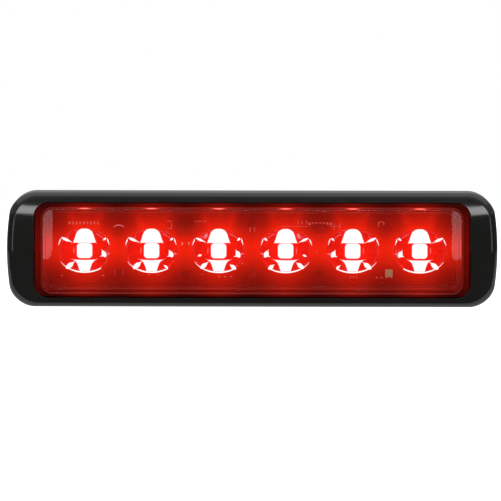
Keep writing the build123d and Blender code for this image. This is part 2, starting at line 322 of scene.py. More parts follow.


# painted LED light: how strongly the lit LEDs' light is painted at a place, as a band along the row, and a
# pool and a beam round each LED
def paintedLedLight(tree, place, paintedLight):
    x, forward, z, aside = placeByLed(tree, place)
    across, upDown = sums(tree, "ABSOLUTE", x), sums(tree, "ABSOLUTE", z)

    def bell(value, width):
        share = sums(tree, "DIVIDE", value, width)
        return sums(tree, "EXPONENT", product(tree, share, share, -1.0))

    band = product(tree, bell(z, paintedLight["bandWidth"]), paintedLight["band"])
    poolAt = sums(tree, "SUBTRACT", z, paintedLight.get("poolZ", 0.0))
    pool = product(tree, bell(aside, paintedLight["poolWidth"]), bell(poolAt, paintedLight["poolHeight"]), paintedLight["pool"])
    level = sums(tree, "ADD", sums(tree, "ADD", band, pool), paintedLight["floor"])
    if "beam" in paintedLight:
        spread = sums(tree, "MULTIPLY_ADD", upDown, ledSpread["beamLean"], ledSpread["beamStart"])
        ray = bell(sums(tree, "SUBTRACT", aside, spread), ledSpread["beamWidth"])
        reach = bell(sums(tree, "SUBTRACT", z, ledSpread["beamZ"]), ledSpread["beamHeight"])
        level = sums(tree, "ADD", level, product(tree, ray, reach, paintedLight["beam"]))
    if "within" in paintedLight:  # only inside a box, in length and height, and in front of a level
        halfLength, halfHeight, rear = paintedLight["within"]
        inLength = sums(tree, "LESS_THAN", across, halfLength)
        inHeight = sums(tree, "LESS_THAN", upDown, halfHeight)
        level = product(tree, level, inLength, inHeight, sums(tree, "GREATER_THAN", forward, rear))
    return product(
        tree, level, remap(tree, across, ledSpread["fadeFrom"], ledSpread["fadeTo"], 1.0, paintedLight["ends"])
    )


# clear plastic that lamps shine through
def clearPlastic(name, look):
    material, tree, shader, place = startMaterial(name)
    wipe = noise(tree, place, look["grain"], 5.0, 0.7)
    tree.links.new(remap(tree, wipe, 0.35, 0.7, *look["rough"]), shader.inputs["Roughness"])
    addBump(tree, shader, look["bump"], look["depth"], wipe)
    shader.inputs["Base Color"].default_value = (*look["tint"], 1)
    shader.inputs["Transmission Weight"].default_value = 1.0
    shader.inputs["IOR"].default_value = look["ior"]
    shade = addNode(tree, "ShaderNodeBsdfTransparent", {"Color": (*look["shade"], 1)}).outputs["BSDF"]
    inShadow = addNode(tree, "ShaderNodeLightPath").outputs["Is Shadow Ray"]
    mix = addNode(tree, "ShaderNodeMixShader", {0: inShadow, 1: shader.outputs["BSDF"], 2: shade})
    tree.links.new(mix.outputs[0], tree.nodes["Material Output"].inputs["Surface"])
    return material


# the red of the LED light, and that light painted as emission on the board: a band, a pool and a beam round
# each LED
red = (1.0, 0.015, 0.0015)
paintedLedLightBoard = {
    "colour": red, "floor": 0.2, "band": 0.68, "bandWidth": 5.0,
    "pool": 0.85, "poolWidth": 5.0, "poolHeight": 8.0, "beam": 0.15, "mottle": 0.45, "ends": 0.8,
}
looks = {
    "bezelPlastic": {
        "dark": (0.0165, 0.0162, 0.015), "light": (0.023, 0.0224, 0.0212), "patch": 60, "grain": 2600,
        "rough": (0.05, 0.08), "bump": 0.02, "depth": 0.02,
    },
    "basePlastic": {
        "dark": (0.012, 0.012, 0.012), "light": (0.022, 0.021, 0.02), "patch": 90, "grain": 3000,
        "rough": (0.45, 0.6), "bump": 0.25, "depth": 0.05,
    },
    "gasketFoam": {
        "dark": (0.011, 0.011, 0.012), "light": (0.04, 0.04, 0.042), "patch": 900, "grain": 2400,
        "rough": (0.85, 0.98), "bump": 0.9, "depth": 0.18,
    },
    "sealRubber": {
        "dark": (0.01, 0.01, 0.01), "light": (0.02, 0.02, 0.02), "patch": 200, "grain": 2500,
        "rough": (0.6, 0.75), "bump": 0.3, "depth": 0.05,
    },
    "glandRubber": {
        "dark": (0.012, 0.012, 0.013), "light": (0.026, 0.026, 0.027), "patch": 250, "grain": 2600,
        "rough": (0.5, 0.7), "bump": 0.35, "depth": 0.05,
    },
    "boardLaminate": {
        "dark": (0.02, 0.004, 0.004), "light": (0.035, 0.007, 0.006), "patch": 220, "grain": 1500,
        "rough": (0.6, 0.75), "bump": 0.2, "depth": 0.03, "ior": 1.2,
    },
    "spreaderMetal": {
        "dark": (0.48, 0.48, 0.49), "light": (0.62, 0.62, 0.63), "patch": 150, "grain": 3500,
        "rough": (0.3, 0.45), "bump": 0.2, "depth": 0.02, "metal": 1.0,
    },
    "padSilicone": {
        "dark": (0.22, 0.23, 0.25), "light": (0.3, 0.31, 0.33), "patch": 300, "grain": 2000,
        "rough": (0.6, 0.75), "bump": 0.3, "depth": 0.04,
    },
    "screwSteel": {
        "dark": (0.42, 0.42, 0.43), "light": (0.6, 0.6, 0.6), "patch": 400, "grain": 3000,
        "rough": (0.22, 0.4), "bump": 0.2, "depth": 0.02, "metal": 1.0,
    },
    "washerFibre": {
        "dark": (0.03, 0.024, 0.02), "light": (0.055, 0.042, 0.034), "patch": 500, "grain": 2500,
        "rough": (0.6, 0.8), "bump": 0.4, "depth": 0.05,
    },
    "eyeletBrass": {
        "dark": (0.09, 0.03, 0.012), "light": (0.14, 0.05, 0.02), "patch": 500, "grain": 3000,
        "rough": (0.85, 0.95), "bump": 0.2, "depth": 0.02, "ior": 1.05,
    },
    "boardScrewSteel": {
        "dark": (0.04, 0.008, 0.006), "light": (0.07, 0.014, 0.01), "patch": 400, "grain": 3000,
        "rough": (0.6, 0.75), "bump": 0.2, "depth": 0.02, "ior": 1.2,
    },
    "chipPlastic": {
        "dark": (0.012, 0.012, 0.013), "light": (0.022, 0.022, 0.024), "patch": 500, "grain": 4000,
        "rough": (0.6, 0.75), "bump": 0.4, "depth": 0.03, "ior": 1.2,
    },
    "partCeramic": {
        "dark": (0.04, 0.012, 0.008), "light": (0.06, 0.02, 0.012), "patch": 500, "grain": 3000,
        "rough": (0.6, 0.75), "bump": 0.2, "depth": 0.02, "ior": 1.2,
    },
    "ledCeramic": {
        "dark": (0.7, 0.68, 0.64), "light": (0.82, 0.8, 0.76), "patch": 500, "grain": 3000,
        "rough": (0.35, 0.5), "bump": 0.2, "depth": 0.02,
    },
}
bezelPlastic = paint("bezelPlastic")
# Painted LED light, as emission, on the tray, the board, the board screws, the eyelets, the chips, the small
# parts and the LED packages.
paintedLightInTray = dict(paintedLedLightBoard, within=(55.9, 11.15, 3.3), floor=0.17, mottle=0.3)
basePlastic = paint("basePlastic", paintedLightInTray)
gasketFoam = paint("gasketFoam")
sealRubber = paint("sealRubber")
glandRubber = paint("glandRubber")
boardLaminate = paint("boardLaminate", paintedLedLightBoard)
spreaderMetal = paint("spreaderMetal")
padSilicone = paint("padSilicone")
screwSteel = paint("screwSteel")
boardScrewSteel = paint("boardScrewSteel", dict(paintedLedLightBoard, floor=0.12))
washerFibre = paint("washerFibre")
eyeletBrass = paint("eyeletBrass", dict(paintedLedLightBoard, floor=0.26))
chipPlastic = paint("chipPlastic", dict(paintedLedLightBoard, floor=0.14, mottle=0.8))
# painted LED light on the small parts, turning tan towards the right where the beige part shows
paintedTanLight = dict(paintedLedLightBoard, rightColour=(1.0, 0.42, 0.24), rightOf=20.0, floor=0.3, band=0.2, pool=0.3)
partCeramic = paint("partCeramic", paintedTanLight)
ledCeramic = paint("ledCeramic", dict(paintedLedLightBoard, floor=1.0))
clearLook = {
    "tint": (0.99, 0.97, 0.97), "shade": (0.14, 0.03, 0.03), "grain": 130, "rough": (0.0, 0.02),
    "bump": 0.001, "depth": 0.02, "ior": 1.5,
}
clearCover = clearPlastic("clearCover", clearLook)

# the shoulder and the edges of the cover, with red LED light painted on them as emission, strongest beside
# each LED
looks["coverRim"] = {
    "dark": (0.01, 0.001, 0.001), "light": (0.02, 0.002, 0.002), "patch": 150, "grain": 900,
    "rough": (0.25, 0.35), "bump": 0.05, "depth": 0.02, "ior": 1.15,
}
paintedLightShoulder = {
    "colour": red, "floor": 0.02, "band": 0.12, "bandWidth": 9.0,
    "pool": 0.22, "poolWidth": 5.2, "poolHeight": 14.0, "ends": 0.6, "mottle": 0.2,
}
coverShoulder = paint("coverShoulder", paintedLightShoulder, "coverRim")
coverEdge = paint("coverEdge", dict(paintedLightShoulder, floor=0.14, pool=0.5), "coverRim")
# a painted highlight line along the window's rounded edge, with painted glints above each LED on its top
# edge
paintedGlintLine = dict(
    paintedLightShoulder, colour=(0.8, 0.1, 0.085), floor=0.13, pool=3.6, poolWidth=1.2, poolZ=12.0, poolHeight=12.0
)
coverLine = paint("coverLine", paintedGlintLine, "coverRim")
paintedLightInnerLine = dict(paintedLightShoulder, colour=(0.7, 0.06, 0.045), floor=0.32, pool=0.2)
coverInnerLine = paint("coverInnerLine", paintedLightInnerLine, "coverRim")
print("finishes ready:", len(bpy.data.materials))


bezel = room("bezel")
bezelShape = {
    "corner": 5.9, "endBow": 1.6, "wall": 1.3, "face": 2.2, "edge": 1.8, "crownRadius": 95.0,
    "openingLength": 115.5, "openingHeight": 25.3, "openingCorner": 3.9, "openingEdge": 0.15,
    "pinRadius": 0.8, "pinX": 60.25, "pinZ": 9.3, "pinTip": 8.35, "notchLength": 9.0, "notchHeight": 1.4,
    "segments": 14, "endCuts": 13, "rearEdge": 0.2, "notchEdge": 0.6, "pinEdge": 0.25, "drumSides": 720,
}


def makeBezel(s):
    halfLength, halfHeight = bezel["length"] / 2, bezel["height"] / 2
    front, rear = bezel["front"], bezel["rear"]
    straight = halfLength - s["endBow"]
    shell = rectangle("bezelShell", 0, front, 0, 2 * straight, 2 * halfHeight)
    roundCorners(s["corner"], s["segments"])
    bpy.ops.mesh.delete(type="ONLY_FACE")
    choose("EDGE", lambda x, f, z: abs(x) > straight - 0.01 and abs(z) < halfHeight - s["corner"] + 0.01)
    bpy.ops.mesh.subdivide(number_cuts=s["endCuts"])
    # bow the ends, a row at a time
    for row in sorted({round(abs(v.co.z) / mm, 2) for v in openMesh().verts}):
        bow = s["endBow"] * (1 - (row / halfHeight) ** 2)
        choose("VERT", lambda x, f, z: round(abs(z), 2) == row)
        resize((straight + bow) / straight, 1, 1)
    moreRectangle(0, front, 0, s["openingLength"], s["openingHeight"])
    roundCorners(s["openingCorner"], s["segments"])
    bpy.ops.mesh.delete(type="ONLY_FACE")
    inner = s["openingHeight"] / 2 - s["openingCorner"]
    choose("EDGE", lambda x, f, z: abs(abs(x) - s["openingLength"] / 2) < 0.01 and abs(z) < inner + 0.01)
    bpy.ops.mesh.subdivide(number_cuts=s["endCuts"])
    choose("EDGE", lambda x, f, z: True)
    bpy.ops.mesh.bridge_edge_loops()

    # lay the face on a drum, which crowns it from top to bottom
    deselectAll()
    bpy.ops.mesh.primitive_cylinder_add(
        vertices=s["drumSides"], radius=s["crownRadius"] * mm, depth=0.2,
        location=spot(0, front - s["crownRadius"], 0), rotation=(0, math.pi / 2, 0),
    )
    drum = bpy.context.object
    deselectAll()
    shell.select_set(True)
    bpy.context.view_layer.objects.active = shell
    wrap = shell.modifiers.new("crown", "SHRINKWRAP")
    wrap.target, wrap.wrap_method = drum, "PROJECT"
    wrap.use_project_x, wrap.use_project_y, wrap.use_project_z = False, True, False
    wrap.use_negative_direction = wrap.use_positive_direction = True
    bpy.ops.object.modifier_apply(modifier="crown")
    bpy.data.objects.remove(drum)

    # skirt, rear rim and inside of the skirt, from the outer edge of the face
    bpy.ops.object.mode_set(mode="EDIT")

    def outside(x, f, z):
        return abs(x) > s["openingLength"] / 2 + 0.1 or abs(z) > s["openingHeight"] / 2 + 0.1

    under = front - s["face"]
    choose("EDGE", outside, edgeOfSheet=True)
    extrudeLoop(rear - front)
    resize(1, 0, 1, 0, rear, 0)
    extrudeLoop()
    resize(1 - s["wall"] / halfLength, 1, 1 - s["wall"] / halfHeight)
    extrudeLoop(under - rear)
    choose("EDGE", lambda x, f, z: f > under + 0.05 and not outside(x, f, z), edgeOfSheet=True)
    extrudeLoop(under - front)
    resize(1, 0, 1, 0, under, 0)
    choose("EDGE", lambda x, f, z: True, edgeOfSheet=True)
    bpy.ops.mesh.bridge_edge_loops()
    choose("EDGE", lambda x, f, z: f > under + 0.1 and outside(x, f, z), sharp=50)
    roundEdges(s["edge"], 8)
    choose("EDGE", lambda x, f, z: f > under + 0.1 and not outside(x, f, z), sharp=50)
    roundEdges(s["openingEdge"], 4)
    choose("EDGE", lambda x, f, z: f < rear + 0.05, sharp=50)
    roundEdges(s["rearEdge"], 2)
    closeMesh()

    # notch for prying the bezel off
    notch = rectangle("notchTool", 0, rear - 1, -halfHeight, s["notchLength"], 4 * s["wall"])
    extrudeFace(s["notchHeight"] + 1)
    choose("EDGE", lambda x, f, z: f > rear and abs(abs(x) - s["notchLength"] / 2) < 0.01)
    roundEdges(s["notchEdge"], 4)
    closeMesh()
    cutAway(shell, notch)

    pins = []
    for x in (-s["pinX"], s["pinX"]):
        for z in (-s["pinZ"], s["pinZ"]):
            pins.append(disc("bezelPin", x, s["pinTip"], z, 2 * s["pinRadius"], 2 * s["pinRadius"], 24))
            extrudeFace(under + 0.2 - s["pinTip"])
            choose("EDGE", lambda x, f, z: f < s["pinTip"] + 0.01)
            roundEdges(s["pinEdge"], 3)
            closeMesh()
    whole = joinParts([shell, *pins], "bezelShell")
    bpy.context.view_layer.objects.active = whole
    bpy.ops.object.mode_set(mode="EDIT")
    closeMesh(weighted=True)
    return dress(whole, bezelPlastic, "bezel", ["bezel"])


makeBezel(bezelShape)
print("bezel made")


cover = room("lens_cover")
coverShape = {
    "corner": 3.55, "shoulder": 12.2, "shoulderThick": 1.5, "window": (111.8, 22.8), "windowCorner": 3.0,
    "inner": (111.8, 22.4), "windowInner": (109.2, 20.2), "windowBack": 15.0, "edge": 0.6, "segments": 10,
    "leanLength": 3.4, "lean": 9.0, "line": (35, 58), "innerEdge": 0.12, "shoulderEdge": 0.25,
    "slant": (12, 86), "innerSlant": (20, 70),
}


def makeCover(s):
    front, rear = cover["front"], cover["rear"]
    (wl, wh), (il, ih), (vl, vh) = s["window"], s["inner"], s["windowInner"]
    shell = rectangle("clearCoverShell", 0, front, 0, wl, wh)
    roundCorners(s["windowCorner"], s["segments"])
    choose("EDGE", lambda x, f, z: True)
    extrudeLoop(s["shoulder"] - front)
    extrudeLoop()
    resize(cover["length"] / wl, 1, cover["height"] / wh)
    extrudeLoop(rear - s["shoulder"])
    extrudeLoop()
    resize(il / cover["length"], 1, ih / cover["height"])
    extrudeLoop(s["shoulder"] - s["shoulderThick"] - rear)
    extrudeLoop()
    resize(vl / il, 1, vh / ih)
    extrudeLoop(s["windowBack"] - s["shoulder"] + s["shoulderThick"])
    bpy.ops.mesh.edge_face_add()
    # the ends of the window lean back
    for side in (-1, 1):
        bend = wl / 2 - s["leanLength"]
        choose("FACE", lambda x, f, z, n: f > front - 0.01)
        bpy.ops.mesh.bisect(plane_co=spot(side * bend, 0, 0), plane_no=(1, 0, 0))
        choose("VERT", lambda x, f, z: f > front - 0.01 and side * x > bend + 0.01)
        turn = math.radians(-side * s["lean"])
        bpy.ops.transform.rotate(value=turn, orient_axis="Z", center_override=spot(side * bend, front, 0))
    choose("EDGE", lambda x, f, z: f > front - 0.8, sharp=50)
    roundEdges(s["edge"], 6)
    choose("EDGE", lambda x, f, z: abs(f - s["windowBack"]) < 0.01)
    roundEdges(s["innerEdge"], 1)

    def outer(x, f, z):
        return abs(f - s["shoulder"]) < 0.01 and (abs(x) > wl / 2 + 0.5 or abs(z) > wh / 2 + 0.5)

    choose("EDGE", outer, sharp=50)
    roundEdges(s["shoulderEdge"], 3)
    shell = closeMesh(weighted=True)
    # the painted-light materials go on the shoulder, the window's rounded edge, the inner edge behind the
    # window and the upright walls
    for material in (clearCover, coverShoulder, coverEdge, coverLine, coverInnerLine):
        shell.data.materials.append(material)
    flat, upright = s["slant"]
    for face in shell.data.polygons:
        x, f, z = abs(face.center.x / mm), -face.center.y / mm, abs(face.center.z / mm)
        tilt = math.degrees(math.acos(min(1, abs(face.normal.y))))
        if s["shoulder"] - 0.4 < f < s["shoulder"] + 0.01 and face.normal.y < -0.3:
            face.material_index = 1  # the shoulder
        elif f > front - 1.1 and flat < tilt < upright:
            face.material_index = 3 if s["line"][0] < tilt < s["line"][1] else 2  # the window's rounded edge
        elif (
            s["windowBack"] - s["innerEdge"] - 0.02 < f < s["windowBack"] + 0.01
            and s["innerSlant"][0] < tilt < s["innerSlant"][1]
        ):
            face.material_index = 4  # the inner edge behind the window
        elif f > s["shoulder"] - 0.5 and tilt >= upright and (
            f < s["windowBack"] or x > vl / 2 + 0.6 or z > vh / 2 + 0.6
        ):
            face.material_index = 2  # the upright walls
    return dress(shell, None, "lamp_body", ["lens_cover"])


makeCover(coverShape)
print("cover made")


optics = [room(f"optic_{number}") for number in range(1, 7)]
opticShape = {
    "rim": 0.8, "footLength": 6.4, "footHeight": 5.6, "foot": 7.8, "sides": 72, "square": 2.3,
    "flankSteps": 6, "flankPower": 0.9, "lip": 0.45, "slope": 0.15, "slopeDeep": 0.3, "rings": (1.2, 1.4),
    "ringDeep": 0.12, "rimEdge": 0.12, "legRadius": 0.8, "legX": 5.2, "legZ": -0.7, "legRear": 6.8,
    "legEdge": 0.15,
}
opticLook = {
    "light": (1.0, 0.009, 0.001), "plastic": (0.09, 0.002, 0.002), "rough": 0.08, "coat": 0.3, "oval": 1.2,
    "reach": (1.5, 6.2), "level": (1.15, 0.8), "streak": 420.0, "streaks": (0.9, 0.5), "bump": 0.15,
    "depth": 0.05,
}


# the optic's acrylic, with red LED light painted as emission, brightest round the LED and streaked
def redOptic(look):
    material, tree, shader, place = startMaterial("opticAcrylic")
    z, aside = placeByLed(tree, place)[2:]
    across = sums(tree, "POWER", sums(tree, "DIVIDE", aside, look["oval"]), 2.0)
    reach = sums(tree, "SQRT", sums(tree, "ADD", across, sums(tree, "POWER", z, 2.0)))
    streak = noise(tree, place, look["streak"], 4.0, 0.7)
    level = remap(tree, reach, *look["reach"], *look["level"])
    level = product(tree, level, sums(tree, "MULTIPLY_ADD", streak, *look["streaks"]))
    tree.links.new(level, shader.inputs["Emission Strength"])
    shader.inputs["Emission Color"].default_value = (*look["light"], 1)
    shader.inputs["Base Color"].default_value = (*look["plastic"], 1)
    shader.inputs["Roughness"].default_value = look["rough"]
    shader.inputs["Coat Weight"].default_value = look["coat"]
    addBump(tree, shader, look["bump"], look["depth"], streak)
    return material


# plastic with painted light as emission, as strong and as white as asked
def litPlastic(name, colour, strength, mottle=0.25):
    material, tree, shader, place = startMaterial(name)
    cloud = noise(tree, place, 900.0, 3.0)
    level = product(tree, sums(tree, "MULTIPLY_ADD", cloud, mottle, 1 - mottle / 2), strength)
    tree.links.new(level, shader.inputs["Emission Strength"])
    shader.inputs["Emission Color"].default_value = (*colour, 1)
    shader.inputs["Base Color"].default_value = (0.2, 0.05, 0.05, 1)
    shader.inputs["Roughness"].default_value = 0.15
    return material


opticAcrylic = redOptic(opticLook)
# painted highlights of the LED's image in the optics: a white core, a pink edge and pink marks
sparkCore = litPlastic("sparkCore", (1.0, 0.97, 0.97), 1.25)
sparkEdge = litPlastic("sparkEdge", (1.0, 0.25, 0.28), 1.0)
sparkPink = litPlastic("sparkPink", (1.0, 0.18, 0.22), 0.85, 0.6)


def makeOpticBody(s, o, name):
    x, z, front = o["x"], 0.0, o["front"]
    body = disc(name, x, s["foot"], z, s["footLength"], s["footHeight"], s["sides"])
    # a slightly squarer oval than an ellipse, a row at a time
    for row in sorted({round(abs(v.co.z) / mm, 2) for v in openMesh().verts}):
        share = 2 * row / s["footHeight"]
        if share < 0.99:
            choose("VERT", lambda vx, f, vz: round(abs(vz), 2) == row)
            squarer = (1 - share ** s["square"]) ** (1 / s["square"]) / math.sqrt(1 - share**2)
            resize(squarer, 1, 1, x, s["foot"], 0)
    choose("FACE", lambda vx, f, vz, n: True)
    rim = front - s["rim"]
    # the flank opens like a bowl
    deep = (rim - s["foot"]) / s["flankSteps"]
    l0, h0 = s["footLength"], s["footHeight"]
    for step in range(1, s["flankSteps"] + 1):
        f1 = s["foot"] + deep * step
        widen = math.sin(step / s["flankSteps"] * math.pi / 2) ** s["flankPower"]
        l1 = s["footLength"] + (o["length"] - s["footLength"]) * widen
        h1 = s["footHeight"] + (o["height"] - s["footHeight"]) * widen
        extrudeFace(deep)
        resize(l1 / l0, 1, h1 / h0, x, f1, z)
        l0, h0 = l1, h1
    extrudeFace(s["rim"])
    bpy.ops.mesh.inset(thickness=s["lip"] * mm)
    bpy.ops.mesh.inset(thickness=s["slope"] * mm, depth=-s["slopeDeep"] * mm)
    for thick in s["rings"]:
        bpy.ops.mesh.inset(thickness=thick * mm, depth=-s["ringDeep"] * mm)
    choose("EDGE", lambda x, f, z: f > front - 0.02, sharp=40)
    roundEdges(s["rimEdge"], 2)
    closeMesh()
    legs = []
    wide = 2 * s["legRadius"]
    for side in (-1, 1):
        legs.append(disc(name, x + side * s["legX"], s["legRear"], s["legZ"], wide, wide, 20))
        extrudeFace(rim - s["legRear"])
        choose("EDGE", lambda x, f, z: f < s["legRear"] + 0.05)
        roundEdges(s["legEdge"], 2)
        closeMesh()
    return joinParts([body, *legs], name)


# Painted highlights: the bright shapes that the LED's image makes in the optic, each a thin raised patch of
# painted light with a soft pink edge.
# Places are from the optic's centre, for an optic on the lamp's left, so minus x is outwards.
sparkShapes = {
    "level": 14.12, "thick": 0.34, "edge": 0.13,
    "cap": {
        "low": 2.15, "high": 5.85, "archEnd": "low", "arch": 0.75, "rows": 14,
        "foot": 6.3, "dome": 4.9, "top": 0.2,
    },
    "barrel": {"z": -0.02, "length": 4.2, "height": 4.15, "corner": 1.0},
    "flare": {
        "low": -5.55, "high": -2.3, "archEnd": "high", "arch": -0.3, "rows": 10,
        "foot": 2.7, "body": 4.8, "wings": 7.3, "sweep": 8,
    },
    "crescent": {"z": -1.0, "length": 13.8, "height": 9.9, "from": 204, "to": 309, "thick": 0.42},
    "arc": {"z": -0.25, "length": 13.0, "height": 10.6, "thick": 0.16},
}
# Painted highlight drops round the middle shapes. Some grow with a size that differs from optic to optic.
drops = {
    "outerBrow": {"x": -4.75, "z": 2.8, "length": 3.2, "width": 0.8, "turn": -24, "point": 0.12},
    "innerBrow": {"x": 5.25, "z": 3.0, "length": 1.15, "width": 0.62, "turn": 220, "point": 0.4},
    "outerTick": {"x": -6.6, "z": 2.35, "length": 1.9, "width": 0.36, "turn": -111, "point": 0.3},
    "innerTick": {"x": 6.2, "z": 2.45, "length": 1.9, "width": 0.36, "turn": -72, "point": 0.3},
    "outerPetal": {"x": -3.75, "z": -3.85, "length": 3.1, "width": 1.35, "turn": 39, "point": 0.1},
    "innerWing": {"x": 5.05, "z": -0.75, "length": 2.3, "width": 1.25, "turn": 116, "point": 0.08},
    "innerTail": {"x": 6.1, "z": -0.85, "length": 1.6, "width": 0.42, "turn": 8, "point": 0.2, "pink": True},
    "innerFoot": {"x": 4.7, "z": -1.35, "length": 1.3, "width": 0.55, "turn": 200, "point": 0.15},
    "outerLine": {
        "x": -2.85, "z": 0.1, "length": 1.9, "width": 0.22, "turn": 88, "point": 0.5, "pink": True,
    },
    "innerPetal": {"x": 3.75, "z": -4.25, "length": 2.6, "width": 1.3, "turn": 141, "point": 0.1},
    "outerFoot": {"x": -5.05, "z": -1.3, "length": 1.2, "width": 0.62, "turn": 200, "point": 0.3},
    "outerCloud": {"x": -3.4, "z": 3.9, "length": 1.7, "width": 0.9, "turn": 60, "point": 0.4, "pink": True},
}
dropSizes = {
    "outerBrow": "outer", "innerBrow": "inner", "outerPetal": "outer", "innerWing": "inner",
    "innerFoot": "inner", "innerPetal": "petal",
}
# from the end optic to the middle one
sparkSets = [
    {"outer": 1.0, "inner": 1.0, "without": ("innerPetal", "outerFoot", "outerCloud")},
    {"outer": 1.0, "inner": 1.0, "petal": 0.55, "without": ("outerFoot", "outerCloud")},
    {"outer": 0.9, "inner": 1.05, "petal": 0.85, "without": ()},
]


def finishSpark(edge, core, rim):
    level, thick = sparkShapes["level"], sparkShapes["thick"]
    bpy.ops.mesh.select_mode(type="FACE")
    bpy.ops.mesh.select_all(action="SELECT")
    extrudeFace(thick)
    choose("EDGE", lambda x, f, z: f > level + thick - 0.005, sharp=40)
    roundEdges(edge, 2)
    part = closeMesh(angle=60)
    part.data.materials.append(core)
    part.data.materials.append(rim)
    for face in part.data.polygons:
        infront = abs(face.normal.y) > 0.97 and -face.center.y / mm > level + thick / 2
        face.material_index = 0 if infront else 1
    return part


# a dome on a foot that spreads
def capWidth(s, share):
    dome = s["dome"] * math.sqrt(1 - (1 - s["top"] ** 2) * share**4)
    return dome + (s["foot"] - s["dome"]) * (1 - share) ** 3


# a stem that widens steadily and ends in two wings
def flareWidth(s, share):
    return s["foot"] + (s["body"] - s["foot"]) * share + (s["wings"] - s["body"]) * share ** s["sweep"]


# a patch built up row by row from its lower edge, to a rule for its width; one end then arches inwards
def makeRows(x, s, widthAt):
    level = sparkShapes["level"]
    rows = [widthAt(s, number / (s["rows"] - 1)) for number in range(s["rows"])]
    step = (s["high"] - s["low"]) / (s["rows"] - 1)
    rectangle("spark", x, level, s["low"] + step / 2, rows[0], step)
    top = s["low"] + step
    choose("EDGE", lambda vx, f, z: z > top - 0.01)
    resize(rows[1] / rows[0], 1, 1, x, level, top)
    for narrow, wide in zip(rows[1:], rows[2:]):
        top += step
        bpy.ops.mesh.extrude_edges_move(TRANSFORM_OT_translate={"value": spot(0, 0, step)})
        resize(wide / narrow, 1, 1, x, level, top)
    row = s[s["archEnd"]]
    choose("EDGE", lambda vx, f, z: abs(z - row) < 0.01)
    bpy.ops.mesh.subdivide(number_cuts=9)
    half = rows[0 if s["archEnd"] == "low" else -1] / 2
    inRow = [v for v in openMesh().verts if abs(v.co.z / mm - row) < 0.01]
    for place in sorted({round(abs(v.co.x / mm - x), 2) for v in inRow}):
        choose("VERT", lambda vx, f, z: abs(z - row) < 0.01 and abs(abs(vx - x) - place) < 0.03)
        move(z=s["arch"] * math.sqrt(max(0, 1 - (place / half) ** 2)) - s["arch"] / 2)
    return finishSpark(sparkShapes["edge"], sparkCore, sparkEdge)


def makeBarrel(x, s):
    rectangle("spark", x, sparkShapes["level"], s["z"], s["length"], s["height"])
    roundCorners(s["corner"], 4)
    return finishSpark(sparkShapes["edge"], sparkCore, sparkEdge)


# a drop, round at one end and pointed at the other, which points along its turn, counted from +x upwards
def makeDrop(x, s, size):
    level, middle, z = sparkShapes["level"], x + s["x"], s["z"]
    length, width = s["length"] * size, s["width"] * size
    disc("spark", middle, level, z, length, width, 20)
    for share in (0.1, 0.25, 0.4):  # the pointed end narrows in three steps
        choose("VERT", lambda vx, f, vz: vx - middle > share * length)
        resize(1, 1, max(s["point"], 1 - 2.2 * share * (1 - s["point"])), middle, level, z)
    bpy.ops.mesh.select_all(action="SELECT")
    bpy.ops.transform.rotate(
        value=math.radians(s["turn"]), orient_axis="Y", center_override=spot(middle, level, z)
    )
    core, rim = (sparkPink, sparkPink) if "pink" in s else (sparkCore, sparkEdge)
    return finishSpark(min(0.08, width / 5), core, rim)


# part of an oval's outline, thickest at the oval's top and bottom
def makeCrescent(x, s, core, rim):
    level = sparkShapes["level"]
    disc("spark", x, level, s["z"], s["length"], s["height"], 120)
    bpy.ops.mesh.delete(type="ONLY_FACE")

    def wanted(vx, f, vz):
        turn = math.degrees(math.atan2((vz - s["z"]) / s["height"], (vx - x) / s["length"])) % 360
        return s["from"] - 0.1 <= turn <= s["to"] + 0.1

    choose("VERT", lambda vx, f, vz: not wanted(vx, f, vz))
    bpy.ops.mesh.delete(type="VERT")
    bpy.ops.mesh.select_mode(type="EDGE")
    bpy.ops.mesh.select_all(action="SELECT")
    extrudeLoop()
    resize(1, 1, 1 - 2 * s["thick"] / s["height"], x, level, s["z"])
    return finishSpark(0.04, core, rim)


def makeSparks(x, name, kind):
    parts = [
        makeRows(x, sparkShapes["cap"], capWidth),
        makeBarrel(x, sparkShapes["barrel"]),
        makeRows(x, sparkShapes["flare"], flareWidth),
        makeCrescent(x, sparkShapes["crescent"], sparkCore, sparkEdge),
        makeCrescent(x, {**sparkShapes["arc"], "from": 36, "to": 64}, sparkPink, sparkPink),
        makeCrescent(x, {**sparkShapes["arc"], "from": 128, "to": 152}, sparkPink, sparkPink),
    ]
    for dropName, drop in drops.items():
        if dropName not in kind["without"]:
            size = kind[dropSizes[dropName]] if dropName in dropSizes else 1.0
            parts.append(makeDrop(x, drop, size))
    return joinParts(parts, name)


for number, kind in enumerate(sparkSets, 1):
    o = optics[number - 1]
    body = makeOpticBody(opticShape, o, f"opticBody_{number}")
    sparks = makeSparks(o["x"], f"opticSparks_{number}", kind)
    other = 7 - number  # the mirrored optic on the lamp's right
    otherBody = copyPart(body, f"opticBody_{other}", mirrored=True)
    otherSparks = copyPart(sparks, f"opticSparks_{other}", mirrored=True)
    for side, made, lit in ((number, body, sparks), (other, otherBody, otherSparks)):
        dress(made, opticAcrylic, "lamp_body", [f"optic_{side}"])
        dress(lit, None, "lamp_body")
print("optics made")


# wire eyelets: flange, rolled lip, and the wire ends soldered into them
eyelets = room("wire_eyelets")
eyeletShape = {
    "flange": 1.3, "lip": 0.85, "fill": 0.5, "apart": 3.0, "lipHigh": 0.18, "edge": 0.04,
    "dip": 0.1, "crown": 0.08,
}


